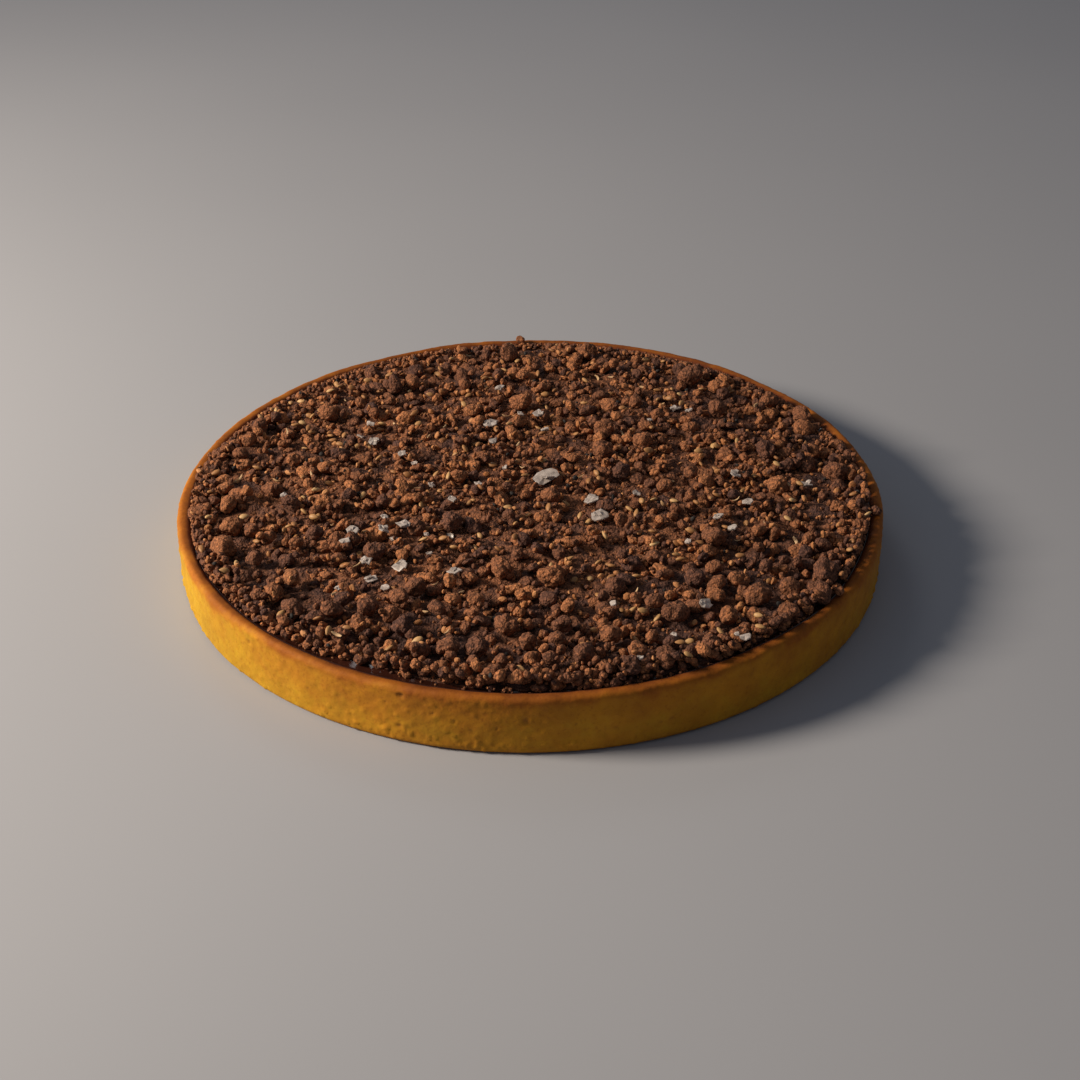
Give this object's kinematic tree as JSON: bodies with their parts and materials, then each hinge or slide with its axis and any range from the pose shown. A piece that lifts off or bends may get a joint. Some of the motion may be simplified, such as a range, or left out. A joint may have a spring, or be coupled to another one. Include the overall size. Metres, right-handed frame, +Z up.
{
  "type": "chocolate tart",
  "caption": "Round straight-sided shortcrust tart with a dark chocolate filling under cocoa crumble, sesame seeds and salt flakes.",
  "frame": {"origin": "middle of the flat underside", "axes": "+Z up, -Y towards the front that the picture shows, +X to the right as seen from the front"},
  "size_m": [0.22, 0.22, 0.0251],
  "materials": {
    "crust": "baked shortcrust, golden sides with small browned pits, browned rim",
    "filling": "set dark chocolate, smooth and glossy",
    "crumble": "dry cocoa crumble with golden sesame seeds and pale salt flakes"
  },
  "bodies": {
    "root": {"crust": "crust", "filling": "filling", "crumble": "crumble"}
  },
  "joints": []
}
